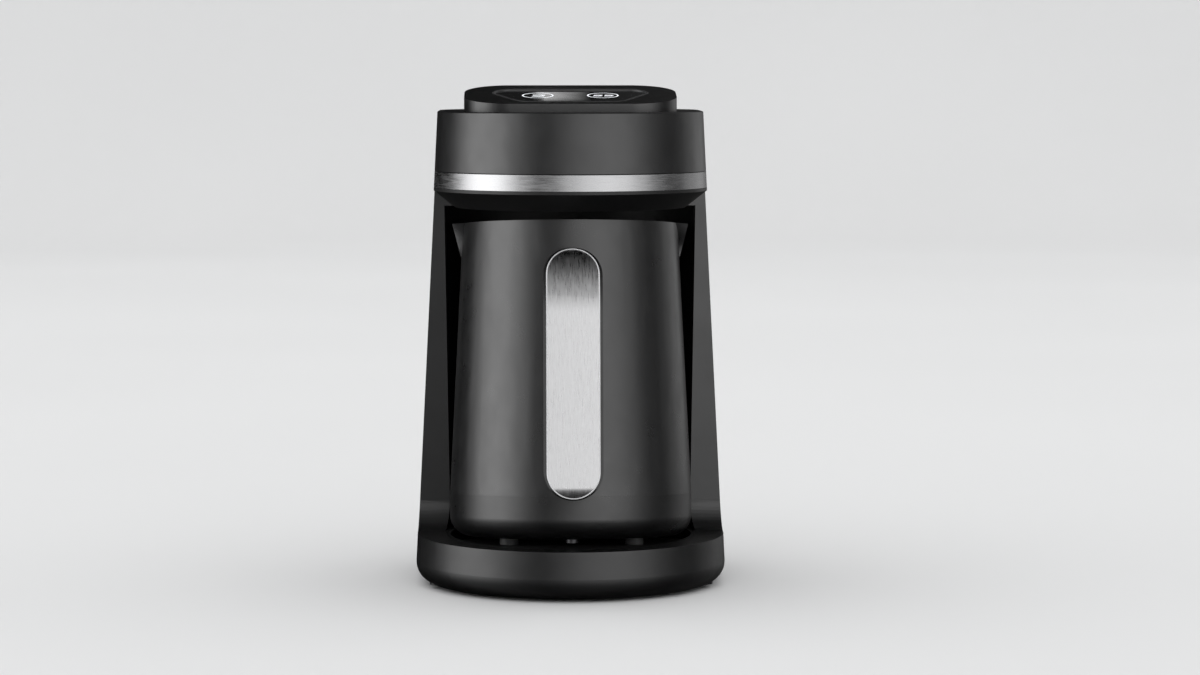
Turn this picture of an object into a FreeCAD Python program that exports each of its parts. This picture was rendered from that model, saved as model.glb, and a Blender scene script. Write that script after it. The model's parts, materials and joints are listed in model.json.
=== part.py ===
# Electric coffee pot maker: a lit touch head over a bay, and a handled heating pot that slides out
import FreeCAD, Part
import math
import os
import re
import Sketcher

# Every length is in millimetres and every angle in degrees.
# The origin is on the table, on the axis of the round front of the base.
# The front faces -Y, +X is to the right as seen from the front.
SIZES = {
    # outside of the machine
    "base_radius": 75.5,
    "side_draft": 0.0500,
    "body_back": 101.0,
    "back_corner": 60.0,
    "pan_height": 11.2,
    "pan_round": 9.6,
    "pan_lift": 0.8,
    "deck_height": 24.3,
    "bay_headroom": 15.7,
    "lip_height": 1.5,
    "band_height": 7.8,
    "head_height": 29.0,
    "wall": 2.4,
    "band_thickness": 1.2,
    "fit_gap": 0.15,
    # bay for the pot
    "wing_front": 16.0,
    "wing_cove": 14.0,
    "bay_center": 0.0,
    "bay_inset": 14.2,
    "bay_flare": 2.5,
    "liner_wall": 2.0,
    "ceiling_inset": 5.3,
    "ceiling_drop": 8.2,
    "ceiling_wall": 2.4,
    "tab_inset": 7.8,
    # seat of the pot
    "lean": 5.0,
    "seat_sink": 4.6,
    "seat_center": -4.0,
    "seat_inset": 2.7,
    "seat_wall": 1.8,
    "seat_plate": 2.4,
    # top platform and touch panel
    "pod_half_width": 51.5,
    "pod_corner": 22.0,
    "pod_front": 27.0,
    "pod_back": 30.0,
    "pod_height": 12.3,
    "pod_slope": 8.4,
    "pod_wall": 2.4,
    "panel_half_width": 38.4,
    "panel_front_half": 24.5,
    "panel_front": 20.5,
    "panel_back": 17.0,
    "panel_thickness": 1.6,
    "panel_lip": 3.2,
    "panel_sink": 0.5,
    "key_spacing": 31.6,
    "key_radius": 7.7,
    "key_line": 0.7,
    "key_shift": 1.6,
    "key_line_depth": 0.4,
    "panel_bend": 9.0,
    # boards and sensor in the head
    "sensor_radius": 6.0,
    "board_screw_x": 38.0,
    "board_front": -30.0,
    "board_back": 30.0,
    "pad_height": 26.0,
    # pot
    "pot_center": -8.0,
    "pot_height": 151.8,
    "pot_corner": 10.0,
    "pot_seam": 20.7,
    "pot_overhang": 0.2,
    "pot_taper": 6.4,
    "pot_wall": 2.2,
    "vessel_gap": 3.0,
    "vessel_wall": 0.8,
    "vessel_floor": 25.0,
    "vessel_drop": 4.0,
    "vessel_corner": 6.0,
    "seal_height": 3.0,
    "pot_ledge_radius": 40.5,
    "spout_length": 5.2,
    "spout_half_width": 13.0,
    "spout_drop": 16.0,
    "foot_place": 30.0,
    "foot_radius": 4.4,
    "foot_height": 3.2,
    "foot_gap": 0.2,
    # handle of the pot
    "handle_width": 27.6,
    "handle_lap": 0.8,
    "handle_drop": 13.6,
    "handle_stand": 38.2,
    "handle_taper": 7.0,
    "handle_thickness": 11.0,
    "handle_bend": 34.0,
    "handle_foot_bend": 6.0,
    "handle_inner_bend": 1.0,
    "inlay_inset": 3.2,
    "inlay_margin": 1.0,
    "inlay_thickness": 1.2,
    # electric coupling between machine and pot
    "plug_width": 32.0,
    "plug_height": 11.0,
    "plug_rise": 14.0,
    "plug_gap": 1.2,
    "pin_radius": 2.0,
    "pin_spacing": 9.0,
    "pin_reach": 10.0,
    "pin_clearance": 0.3,
    "socket_depth": 14.0,
    # heater in the pot
    "heat_plate_radius": 46.0,
    "heat_plate_thickness": 3.0,
    "heat_ring_radius": 34.0,
    "heat_tube_radius": 3.0,
    # rear and inside of the machine
    "cover_half_width": 40.0,
    "cover_start": 23.7,
    "cover_stop": 15.8,
    "cover_wall": 2.4,
    "cover_lap": 4.0,
    "cover_screw_x": 12.0,
    "board_thickness": 1.6,
    "screw_radius": 1.5,
    "screw_head_radius": 3.0,
    "screw_head_height": 1.8,
    "screw_length": 8.0,
    "boss_wall": 2.0,
    "table_foot_radius": 7.0,
    "inlet_radius": 5.5,
    "inlet_bore": 3.6,
    "inlet_lift": 9.0,
    "power_board_height": 104.0,
    "power_board_half_width": 34.0,
    "transformer_lift": 58.0,
    "transformer_width": 28.0,
    "relay_width": 19.0,
    "relay_height": 16.0,
    "tall_part": 14.0,
    "terminal_lift": 4.0,
    "terminal_half_width": 24.0,
    "terminal_height": 12.0,
    "terminal_depth": 10.0,
    "capacitor_lift": 40.0,
    "capacitor_radius": 5.0,
    "ribbon_half_width": 8.0,
    "ribbon_thickness": 1.4,
    "ribbon_lift": 94.0,
    "lead_width": 2.0,
    "rail_width": 3.0,
    "rail_place": 27.0,
}

# Sizes that follow from the ones above, so that the pieces keep together when one of them changes.
LINKS = {
    "lip_bottom": "deck_height + pot_height + bay_headroom",
    "band_bottom": "lip_bottom + lip_height",
    "band_top": "band_bottom + band_height",
    "head_top": "band_top + head_height",
    "pod_back_rise": "head_top + pod_height",
    "bay_low_radius": "base_radius - bay_inset",
    "bay_high_radius": "bay_low_radius + bay_flare",
    "tab_reach": "bay_low_radius - tab_inset",
    "ceiling_radius": "bay_low_radius - ceiling_inset",
    "ceiling_rise": "lip_bottom - ceiling_drop",
    "seat_rise": "deck_height - seat_sink",
    "seat_radius": "bay_low_radius - seat_inset",
    "pot_seam_radius": "seat_radius + pot_overhang",
    "pot_rim_radius": "pot_seam_radius - pot_taper",
    "spout_reach": "pot_rim_radius + spout_length",
    "handle_low": "pot_seam - handle_lap",
    "handle_high": "pot_height - handle_drop",
    "handle_reach_low": "pot_seam_radius + handle_stand",
    "handle_reach_high": "handle_reach_low - handle_taper",
    "inlay_width": "handle_width - inlay_inset",
    "cover_low": "deck_height + cover_start",
    "cover_high": "lip_bottom - cover_stop",
    "board_low": "cover_low - 2",
    "board_high": "board_low + power_board_height",
}

doc = FreeCAD.newDocument("coffee_maker")
sheet = doc.addObject("Spreadsheet::Sheet", "Sizes")
NAMED = {name: str(number) for name, number in SIZES.items()}
NAMED.update((name, "=" + text) for name, text in LINKS.items())
for row, name in enumerate(NAMED, 1):
    sheet.set("A%d" % row, name)
    sheet.setAlias("B%d" % row, name)
for row, text in enumerate(NAMED.values(), 1):
    sheet.set("B%d" % row, text)
doc.recompute()

NODES = []


def tied(text):
    """An expression in which each name of a size is a cell of the sheet."""
    return re.sub(r"[a-z_]+", lambda word: "Sizes." + word[0] if word[0] in NAMED else word[0], str(text))


def value(text):
    """What an expression comes to now, for the first place of a line or for finding an edge."""
    return float(doc.getObject("Probe").evalExpression(tied(text)))


doc.addObject("App::FeaturePython", "Probe")


def bind(thing, name, text):
    thing.setExpression(name, tied(text))


def place(thing, x=0, y=0, z=0, about_x=None):
    """Set where a thing stands, and its turn about the X axis if it leans."""
    if about_x is not None:
        thing.Placement = FreeCAD.Placement(FreeCAD.Vector(), FreeCAD.Rotation(FreeCAD.Vector(1, 0, 0), 1))
        bind(thing, "Placement.Rotation.Angle", about_x)
    for axis, text in zip("xyz", (x, y, z)):
        if text != 0:
            bind(thing, "Placement.Base." + axis, text)
    return thing


def solid(kind, x=0, y=0, z=0, about_x=None, **sizes):
    """A Part primitive with its sizes and its place tied to the sheet."""
    thing = doc.addObject("Part::" + kind, kind)
    for name, text in sizes.items():
        bind(thing, name, text)
    return place(thing, x, y, z, about_x)


def box(x, y, z, about_x=None):
    """A box between three pairs of limits."""
    limits = (x, y, z)
    sizes = ["(%s) - (%s)" % (high, low) for low, high in limits]
    low = [pair[0] for pair in limits]
    return solid("Box", *low, about_x=about_x, Length=sizes[0], Width=sizes[1], Height=sizes[2])


def cut(base, *tools):
    for tool in tools:
        result = doc.addObject("Part::Cut", "Cut")
        result.Base, result.Tool = base, tool
        base = result
    return base


def fuse(*parts):
    result = doc.addObject("Part::MultiFuse", "Fuse")
    result.Shapes = list(parts)
    return result


def common(*parts):
    result = doc.addObject("Part::MultiCommon", "Common")
    result.Shapes = list(parts)
    return result


def group(*parts):
    """Like pieces that share one node, as separate solids."""
    result = doc.addObject("Part::Compound", "Group")
    result.Links = list(parts)
    return result


def node(thing, label):
    thing.Label = label
    NODES.append(thing)
    return thing


def origin_plane(body, role):
    return next(plane for plane in body.Origin.OriginFeatures if plane.Role == role)


def sketch_in(body, role, lift=0):
    """An empty sketch on one of the body's own origin planes, lifted along its normal."""
    sketch = body.newObject("Sketcher::SketchObject", "Sketch")
    sketch.AttachmentSupport = [(origin_plane(body, role), "")]
    sketch.MapMode = "FlatFace"
    bind(sketch, "AttachmentOffset.Base.z", lift)
    return sketch


def new_body():
    return doc.addObject("PartDesign::Body", "Body")


def tie_last(sketch, text):
    """Give the newest constraint of a sketch its expression."""
    bind(sketch, "Constraints[%d]" % (sketch.ConstraintCount - 1), text)


def outline(sketch, points):
    """A closed run of straight lines through points whose coordinates are expressions."""
    spots = [FreeCAD.Vector(value(across), value(along), 0) for across, along in points]
    count = len(spots)
    for index in range(count):
        sketch.addGeometry(Part.LineSegment(spots[index], spots[(index + 1) % count]))
    for index, (across, along) in enumerate(points):
        sketch.addConstraint(Sketcher.Constraint("Coincident", (index - 1) % count, 2, index, 1))
        sketch.addConstraint(Sketcher.Constraint("DistanceX", -1, 1, index, 1, spots[index].x))
        tie_last(sketch, across)
        sketch.addConstraint(Sketcher.Constraint("DistanceY", -1, 1, index, 1, spots[index].y))
        tie_last(sketch, along)


def turned(points):
    """A body of revolution about the vertical axis, from radius and height pairs."""
    body = new_body()
    sketch = sketch_in(body, "XZ_Plane")
    outline(sketch, points)
    turn = body.newObject("PartDesign::Revolution", "Turn")
    turn.Profile = sketch
    turn.ReferenceAxis = (sketch, ["V_Axis"])
    turn.Angle = 360
    return body


def pad(body, sketch, length, midplane=False, back=False):
    feature = body.newObject("PartDesign::Pad", "Pad")
    feature.Profile = sketch
    bind(feature, "Length", length)
    feature.Midplane = midplane
    feature.Reversed = back
    return feature


def rounded(body, radius, wanted, kind="Fillet"):
    """Round or chamfer the edges of a body's tip that the test picks."""
    doc.recompute()
    base = body.Tip
    names = ["Edge%d" % (number + 1) for number, edge in enumerate(base.Shape.Edges) if wanted(edge)]
    feature = body.newObject("PartDesign::" + kind, kind)
    feature.Base = (base, names)
    bind(feature, "Radius" if kind == "Fillet" else "Size", radius)
    return feature


def drawn_in(size, height):
    """A width or depth of the tapered machine body at a height."""
    return "(%s - side_draft * (%s - pan_height))" % (size, height)


def plan(body, height, inset, sized_at=None):
    """The machine's outline at a height: a half round front, straight sides and rounded rear corners."""
    half, back, corner = ["(%s - (%s))" % (drawn_in(size, sized_at or height), inset)
                          for size in ("base_radius", "body_back", "back_corner")]
    radius, rear, bend = value(half), value(back), value(corner)
    sketch = sketch_in(body, "XY_Plane", height)
    point = FreeCAD.Vector
    quarter = math.pi / 2

    def arc(x, y, size, start, end):
        return Part.ArcOfCircle(Part.Circle(point(x, y, 0), point(0, 0, 1), size), start, end)

    for piece in (arc(0, 0, radius, 2 * quarter, 4 * quarter),
                  Part.LineSegment(point(radius, 0, 0), point(radius, rear - bend, 0)),
                  arc(radius - bend, rear - bend, bend, 0, quarter),
                  Part.LineSegment(point(radius - bend, rear, 0), point(bend - radius, rear, 0)),
                  arc(bend - radius, rear - bend, bend, quarter, 2 * quarter),
                  Part.LineSegment(point(-radius, rear - bend, 0), point(-radius, 0, 0))):
        sketch.addGeometry(piece)
    for index in range(6):
        sketch.addConstraint(Sketcher.Constraint("Tangent", index, 2, (index + 1) % 6, 1))
    sketch.addConstraint(Sketcher.Constraint("Coincident", 0, 3, -1, 1))
    sketch.addConstraint(Sketcher.Constraint("Vertical", 1))
    sketch.addConstraint(Sketcher.Constraint("Vertical", 5))
    sketch.addConstraint(Sketcher.Constraint("Horizontal", 3))
    sketch.addConstraint(Sketcher.Constraint("Equal", 2, 4))
    sketch.addConstraint(Sketcher.Constraint("Radius", 0, radius))
    tie_last(sketch, half)
    sketch.addConstraint(Sketcher.Constraint("Radius", 2, bend))
    tie_last(sketch, corner)
    sketch.addConstraint(Sketcher.Constraint("DistanceY", -1, 1, 3, 1, rear))
    tie_last(sketch, back)
    return sketch


def tapered(low, high, inset=0):
    """A slice of the machine's tapered body between two heights, drawn in all round by the inset."""
    body = new_body()
    loft = body.newObject("PartDesign::AdditiveLoft", "Loft")
    loft.Profile = plan(body, low, inset)
    loft.Sections = [plan(body, high, inset)]
    loft.Ruled = True
    return body


def prism(low, high, inset=0):
    """A slice with upright sides, of the machine's outline at the top of the pan."""
    body = new_body()
    pad(body, plan(body, low, inset, "pan_height"), "(%s) - (%s)" % (high, low))
    return body


def screws(places, radius="screw_radius", length="screw_length", head_down=True):
    """Like screws: a round head, and a shank that goes up from it, or down."""
    made = []
    for x, y, z in places:
        shank_z = z if head_down else "(%s) - (%s)" % (z, length)
        head_z = "(%s) - screw_head_height" % z if head_down else z
        made.append(fuse(solid("Cylinder", x, y, shank_z, Radius=radius, Height=length),
                         solid("Cylinder", x, y, head_z, Radius="screw_head_radius",
                               Height="screw_head_height")))
    return made


PAN_SCREWS = [("%s * (base_radius - 12)" % x, y, "pan_lift + 3") for x in (-1, 1) for y in ("0 - 22", "30")]
TABLE_FEET = [("%s * (base_radius - 34)" % x, y) for x in (-1, 1) for y in ("0 - 34", "body_back - 34")]


def make_pan():
    """The bottom pan, turned up round its edge, with posts for its screws and pockets for its feet."""
    shell = prism("pan_lift", "pan_height")
    rounded(shell, "pan_round", lambda edge: edge.BoundBox.ZMax < value("pan_lift") + 0.01)
    hollow = prism("pan_lift + wall", "pan_height + 1", "wall")
    rounded(hollow, "pan_round - wall", lambda edge: edge.BoundBox.ZMax < value("pan_lift + wall") + 0.01)
    posts = [solid("Cylinder", x, y, "pan_lift + 1", Radius="screw_head_radius + boss_wall",
                   Height="pan_height - pan_lift - 1") for x, y, z in PAN_SCREWS]
    holes = [solid("Cylinder", x, y, "0 - 1", Radius="screw_radius + fit_gap", Height="pan_height + 5")
             for x, y, z in PAN_SCREWS]
    sinks = [solid("Cylinder", x, y, "0 - 1", Radius="screw_head_radius + fit_gap", Height="(%s) + 1" % z)
             for x, y, z in PAN_SCREWS]
    pockets = [solid("Cylinder", x, y, "0 - 1", Radius="table_foot_radius + fit_gap", Height="pan_lift + 2.2")
               for x, y in TABLE_FEET]
    node(cut(fuse(cut(shell, hollow), *posts), *(holes + sinks + pockets)), "base_pan")
    node(group(*screws(PAN_SCREWS)), "pan_screws")
    feet = [solid("Cylinder", x, y, "0", Radius="table_foot_radius", Height="pan_lift + 1.2")
            for x, y in TABLE_FEET]
    node(group(*feet), "rubber_feet")


def bay(grow=0, low="deck_height", high="lip_bottom"):
    """The round space of the bay, wider at its top, as a solid."""
    draft = "((bay_high_radius - bay_low_radius) / (lip_bottom - deck_height))"
    width = "(bay_low_radius + %s + %s * (%s - deck_height))"
    return solid("Cone", 0, "bay_center", low, Radius1=width % (grow, draft, low),
                 Radius2=width % (grow, draft, high), Height="(%s) - (%s)" % (high, low))


def make_housing():
    """The outer shell: base ring with its deck, two wings, and the column behind the bay."""
    skin = cut(tapered("pan_height", "lip_bottom"),
               tapered("pan_height - 1", "lip_bottom + 1", "wall"))
    wide = ("0 - base_radius - 5", "base_radius + 5")
    front = box(wide, ("0 - base_radius - 5", "wing_front"), ("deck_height", "head_top"))
    deck = cut(tapered("deck_height - wall", "deck_height", "(wall - 0.5)"),
               solid("Cylinder", 0, "seat_center", "0", Radius="seat_radius + seat_wall + fit_gap",
                     Height="head_top"),
               box(("0 - 20", "20"), ("body_back - 30", "body_back - 14"), ("0", "deck_height + 1")))
    inside = tapered("deck_height - 1", "lip_bottom", "(wall - 0.5)")
    face = box(wide, ("wing_front", "wing_front + wall"), ("deck_height - 1", "lip_bottom"))
    clear = bay(0, "deck_height - 2", "ceiling_rise")
    top_clear = box(("0 - tab_reach", "tab_reach"), ("0", "bay_center + bay_high_radius"),
                    ("ceiling_rise - 1", "lip_bottom + 1"))
    wings = cut(common(face, inside), clear, top_clear)
    cove = cut(box(wide, ("wing_front - wing_cove", "wing_front"),
                   ("deck_height", "deck_height + wing_cove")),
               turned_across("wing_front - wing_cove", "deck_height + wing_cove", "wing_cove"))
    coves = cut(common(cove, tapered("pan_height", "lip_bottom")), bay(0, "deck_height", "ceiling_rise"))
    posts = [solid("Cylinder", x, y, "pan_height", Radius="screw_head_radius + boss_wall",
                   Height="deck_height - pan_height - 1") for x, y, z in PAN_SCREWS]
    holes = [solid("Cylinder", x, y, "pan_height - 1", Radius="screw_radius + 0.05", Height="8")
             for x, y, z in PAN_SCREWS]
    opening = box(("0 - cover_half_width", "cover_half_width"), ("body_back - 30", "body_back + 5"),
                  ("cover_low", "cover_high"))
    inlet = solid("Cylinder", 0, "body_back - 20", INLET_RISE, about_x="0 - 90",
                  Radius="inlet_radius + fit_gap", Height="40")
    shell = fuse(cut(skin, front), deck, wings, coves, *posts)
    node(cut(shell, opening, inlet, *holes), "housing")


def turned_across(y, z, radius):
    """A round bar along X, right across the machine."""
    bar = solid("Cylinder", Radius=radius, Height="2 * base_radius + 20")
    bar.Placement = FreeCAD.Placement(FreeCAD.Vector(), FreeCAD.Rotation(FreeCAD.Vector(0, 1, 0), 90))
    return place(bar, "0 - base_radius - 10", y, z)


def lean_frame(*things):
    """Stand things that were made upright on the leaning seat, as the pot stands."""
    thing = group(*things)
    turn = FreeCAD.Rotation(FreeCAD.Vector(1, 0, 0), -value("lean"))
    seat = FreeCAD.Vector(0, value("pot_center"), value(POT_RISE))
    thing.Placement = FreeCAD.Placement(seat, turn)
    return thing


POT_RISE = "(seat_rise - pot_center * tan(lean) + (foot_height + foot_gap) / cos(lean))"
PLUG_FRONT = "(pot_seam_radius + plug_gap)"
PIN_PLACES = ["0 - pin_spacing", "0", "pin_spacing"]


def plug_room(grow=0):
    """The space of the machine's plug block, square to the leaning pot."""
    half = "plug_width / 2 + %s" % grow
    tall = "plug_height / 2 + %s" % grow
    return lean_frame(box(("0 - (%s)" % half, half), (PLUG_FRONT, PLUG_FRONT + " + 16"),
                                ("plug_rise - (%s)" % tall, "plug_rise + %s" % tall)))


def make_bay():
    """The liner of the bay, the leaning seat in the deck, and the plug that feeds the pot."""
    behind = box(("0 - base_radius", "base_radius"), ("0 - base_radius", "wing_front + wall"),
                 ("0", "head_top"))
    wall_ring = cut(bay("liner_wall"), bay(0, "deck_height - 1", "lip_bottom + 1"))
    node(cut(wall_ring, behind, plug_room("fit_gap")), "bay_liner")

    dish = solid("Cylinder", 0, "seat_center", "pan_height + fit_gap", Radius="seat_radius + seat_wall",
                 Height="deck_height - pan_height - fit_gap")
    round_room = [solid("Cylinder", 0, "seat_center", "0", Radius="seat_radius", Height="head_top")
                  for side in range(2)]
    above = common(round_room[0], leaning_slab("0", "head_top"))
    below = common(round_room[1], leaning_slab("0 - seat_plate - 60", "60"))
    node(cut(dish, above, below), "seat_plate")

    block = box(("0 - plug_width / 2", "plug_width / 2"), (PLUG_FRONT, PLUG_FRONT + " + 15"),
                ("plug_rise - plug_height / 2", "plug_rise + plug_height / 2"))
    bores = [solid("Cylinder", x, PLUG_FRONT + " - 1", "plug_rise", about_x="0 - 90",
                   Radius="pin_radius + 0.05", Height="30") for x in PIN_PLACES]
    node(lean_frame(cut(block, *bores)), "power_plug")
    pins = [solid("Cylinder", x, PLUG_FRONT + " - pin_reach", "plug_rise", about_x="0 - 90",
                  Radius="pin_radius", Height="pin_reach + 16.8") for x in PIN_PLACES]
    node(lean_frame(*pins), "plug_pins")


def leaning_slab(low, height):
    """A wide slab that leans as the pot does, from a level measured at the seat."""
    slab = solid("Box", Length="2 * base_radius", Width="2 * base_radius", Height=height)
    turn = FreeCAD.Rotation(FreeCAD.Vector(1, 0, 0), -value("lean"))
    corner = FreeCAD.Vector(-value("base_radius"), -value("base_radius"), value(low))
    slab.Placement = FreeCAD.Placement(turn.multVec(corner) + FreeCAD.Vector(0, 0, value("seat_rise")), turn)
    return slab


def make_head():
    """The head: its shell, the steel band, and the underside with its sloped edge and ceiling."""
    shell = cut(tapered("band_top", "head_top"), tapered("band_top - 1", "head_top - wall", "wall"))
    spigot = cut(tapered("band_bottom", "band_top + 0.01", "band_thickness + fit_gap"),
                 tapered("band_bottom - 1", "band_top + 1", "wall"))
    hole = pod_block("0 - pod_wall - 1", "head_top - wall - 1", "head_top + 1")
    node(cut(fuse(shell, spigot), hole), "head_shell")
    node(cut(tapered("band_bottom", "band_top"),
             tapered("band_bottom - 1", "band_top + 1", "band_thickness")), "trim_band")

    flange = tapered("lip_bottom", "band_bottom")
    slope_outer = solid("Cone", 0, 0, "ceiling_rise", Radius1="ceiling_radius",
                        Radius2="(%s)" % drawn_in("base_radius", "lip_bottom"),
                        Height="lip_bottom - ceiling_rise")
    slope_inner = solid("Cone", 0, 0, "ceiling_rise + ceiling_wall", Radius1="ceiling_radius - ceiling_wall",
                        Radius2="(%s) - ceiling_wall" % drawn_in("base_radius", "lip_bottom"),
                        Height="lip_bottom - ceiling_rise")
    behind = box(("0 - base_radius", "base_radius"), ("wing_front - fit_gap", "base_radius"),
                 ("ceiling_rise - 1", "lip_bottom"))
    mouth = common(solid("Cylinder", 0, 0, "lip_bottom - 1", Radius="ceiling_radius - ceiling_wall",
                         Height="9"),
                   box(("0 - base_radius", "base_radius"), ("0 - base_radius", "wing_front - 3"),
                       ("lip_bottom - 1", "band_bottom + 1")))
    back_wall = box(("0 - ceiling_radius + 1", "ceiling_radius - 1"),
                    ("wing_front - fit_gap - wall", "wing_front - fit_gap"), ("ceiling_rise", "lip_bottom"))
    cable_hole = box(("0 - 20", "20"), (COLUMN_Y + " - 4", COLUMN_Y + " + 12"), ("0", "head_top"))
    sensor_hole = solid("Cylinder", 0, SENSOR_Y, "0", Radius="sensor_radius + fit_gap", Height="head_top")
    under = fuse(cut(slope_outer, slope_inner, behind), cut(flange, mouth), back_wall, *board_posts())
    node(cut(under, cable_hole, sensor_hole, *board_holes()), "head_underside")


SENSOR_Y = "(0 - 8)"
BOARD_CORNERS = [(x, y) for x in ("0 - board_screw_x", "board_screw_x")
                 for y in ("board_front + 5", "board_back - 5")]
BOARD_Z = "(head_top - 13)"


def board_posts():
    return [solid("Cylinder", x, y, low, Radius="screw_radius + boss_wall",
                  Height="%s - (%s)" % (BOARD_Z, low))
            for (x, y), low in zip(BOARD_CORNERS, ("ceiling_rise + 1", "lip_bottom") * 2)]


def board_holes():
    return [solid("Cylinder", x, y, "%s - 7" % BOARD_Z, Radius="screw_radius + 0.05", Height="9")
            for x, y in BOARD_CORNERS]


def pod_block(grow, low, high):
    """The rounded block of the top platform, as tall as asked; its outline may be drawn out."""
    body = new_body()
    sketch = sketch_in(body, "XY_Plane", low)
    half = "(pod_half_width + %s)" % grow
    outline(sketch, [("0 - " + half, "0 - pod_front - (%s)" % grow), (half, "0 - pod_front - (%s)" % grow),
                     (half, "pod_back + %s" % grow), ("0 - " + half, "pod_back + %s" % grow)])
    pad(body, sketch, "(%s) - (%s)" % (high, low))
    rounded(body, "pod_corner + (%s)" % grow, lambda edge: upright(edge))
    return body


def upright(edge):
    bounds = edge.BoundBox
    return bounds.XLength < 0.01 and bounds.YLength < 0.01


def above_pod(lift=0):
    """All that lies above the sloping top of the platform, drawn up or down by a lift."""
    slab = solid("Box", Length="2 * base_radius", Width="2 * base_radius", Height="30")
    turn = FreeCAD.Rotation(FreeCAD.Vector(1, 0, 0), value("pod_slope"))
    hinge = FreeCAD.Vector(0, value("pod_back"), value("pod_back_rise"))
    corner = FreeCAD.Vector(-value("base_radius"), -1.5 * value("base_radius"), value(lift))
    slab.Placement = FreeCAD.Placement(hinge + turn.multVec(corner), turn)
    return slab


def top_frame(*things):
    """Lay things that were drawn flat at the origin on the sloping top, at its middle."""
    thing = group(*things)
    turn = FreeCAD.Rotation(FreeCAD.Vector(1, 0, 0), value("pod_slope"))
    hinge = FreeCAD.Vector(0, value("pod_back"), value("pod_back_rise"))
    middle = FreeCAD.Vector(0, -value("pod_back / cos(pod_slope)"), 0)
    thing.Placement = FreeCAD.Placement(hinge + turn.multVec(middle), turn)
    return thing


def panel_plate(grow, low, high):
    """The touch panel's outline: wide behind, with sides that curve in to a narrower front."""
    body = new_body()
    sketch = sketch_in(body, "XY_Plane", low)
    wide = "(panel_half_width + %s)" % grow
    narrow = "(panel_front_half + %s)" % grow
    front = "0 - panel_front - (%s)" % grow
    back = "panel_back + %s" % grow
    outline(sketch, [("0 - " + narrow, front), (narrow, front), (wide, "panel_back - 11"),
                     (wide + " - 4", back), ("0 - %s + 4" % wide, back), ("0 - " + wide, "panel_back - 11")])
    pad(body, sketch, "(%s) - (%s)" % (high, low))
    rounded(body, "panel_bend", lambda edge: upright(edge))
    return body


def make_top():
    """The top platform with its sloping rim, the glossy touch panel and its two ring marks."""
    top = cut(pod_block(0, "head_top", "pod_back_rise + 2"), above_pod())
    hollow = cut(pod_block("0 - pod_wall", "head_top - 1", "pod_back_rise + 2"), above_pod("0 - 6"))
    spigot = cut(pod_block("0 - pod_wall - 1 - fit_gap", "head_top - wall", "head_top + 0.5"),
                 pod_block("0 - 2 * pod_wall - 1", "head_top - wall - 1", "head_top + 2"))
    floor = pod_block("0 - pod_wall + 0.1", "head_top", "head_top + 1")
    window = pod_block("0 - 2 * pod_wall - 1", "head_top - 1", "head_top + 1.5")
    recess = top_frame(panel_plate("fit_gap", "0 - panel_thickness - panel_sink", "4"))
    light_gap = top_frame(box(("3 - panel_front_half", "panel_front_half - 3"),
                                    ("4 - panel_front", "panel_back - 4"), ("0 - 12", "1")))
    node(cut(fuse(cut(top, hollow), spigot, cut(floor, window)), recess, light_gap), "control_pod")
    depth = "0 - panel_thickness - panel_sink"
    grooves = [ring_mark(x, "0 - panel_sink - key_line_depth", "1")
               for x in ("0 - key_spacing", "key_spacing")]
    plate = cut(panel_plate(0, depth, "0 - panel_sink"), *grooves)
    node(top_frame(plate), "touch_panel")
    rings = [ring_mark(x, "0 - panel_sink - key_line_depth", "0 - panel_sink", "0.02")
             for x in ("0 - key_spacing", "key_spacing")]
    node(top_frame(*rings), "key_rings")


def ring_mark(x, low, high, inset="0"):
    """The light ring of one key."""
    span = "(%s) - (%s)" % (high, low)
    outer = solid("Cylinder", "(%s) / 2" % x, "key_shift", low, Radius="key_radius - %s" % inset, Height=span)
    inner = solid("Cylinder", "(%s) / 2" % x, "key_shift", low + " - 1",
                  Radius="key_radius - key_line + %s" % inset, Height=span + " + 2")
    return cut(outer, inner)


def make_head_parts():
    """What the head holds: the touch board with its lights, pads, buzzer and screws, and the sensor."""
    board = box(("0 - board_screw_x - 5", "board_screw_x + 5"), ("board_front", "board_back"),
                (BOARD_Z, BOARD_Z + " + board_thickness"))
    holes = [solid("Cylinder", x, y, BOARD_Z + " - 1", Radius="screw_radius + fit_gap", Height="5")
             for x, y in BOARD_CORNERS]
    node(cut(board, *holes), "control_board")
    top = BOARD_Z + " + board_thickness"
    node(group(*screws([(x, y, top) for x, y in BOARD_CORNERS], length="6", head_down=False)), "board_screws")
    key_x = ("0 - key_spacing / 2", "key_spacing / 2")
    pads = [solid("Cylinder", x, "key_shift", top, Radius="key_radius - 2.5", Height="pad_height")
            for x in key_x]
    node(cut(group(*pads), top_frame(box(("0 - base_radius", "base_radius"),
                                               ("0 - base_radius", "base_radius"),
                                               ("0 - panel_thickness - panel_sink - fit_gap", "40")))),
         "touch_pads")
    lights = [box((x + " - 1.4", x + " + 1.4"), ("key_shift - key_radius - 3", "key_shift - key_radius"),
                  (top, top + " + 1.2")) for x in key_x]
    node(group(*lights), "key_lights")
    node(cut(solid("Cylinder", "board_screw_x - 10", "board_back - 9", BOARD_Z + " - 5",
                   Radius="5", Height="5"),
             solid("Cylinder", "board_screw_x - 10", "board_back - 9", BOARD_Z + " - 6",
                   Radius="1", Height="3")), "buzzer")
    window = fuse(solid("Cylinder", 0, SENSOR_Y, "ceiling_rise", Radius="sensor_radius",
                        Height="ceiling_wall"),
                  solid("Cylinder", 0, SENSOR_Y, "ceiling_rise + ceiling_wall", Radius="sensor_radius + 1.5",
                        Height="1"))
    node(window, "sensor_window")
    node(cut(solid("Cylinder", 0, SENSOR_Y, "ceiling_rise + ceiling_wall + 1", Radius="sensor_radius + 1.5",
                   Height="9"),
             solid("Cylinder", 0, SENSOR_Y, "ceiling_rise + ceiling_wall", Radius="sensor_radius - 1",
                   Height="7")), "boil_sensor")


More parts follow.
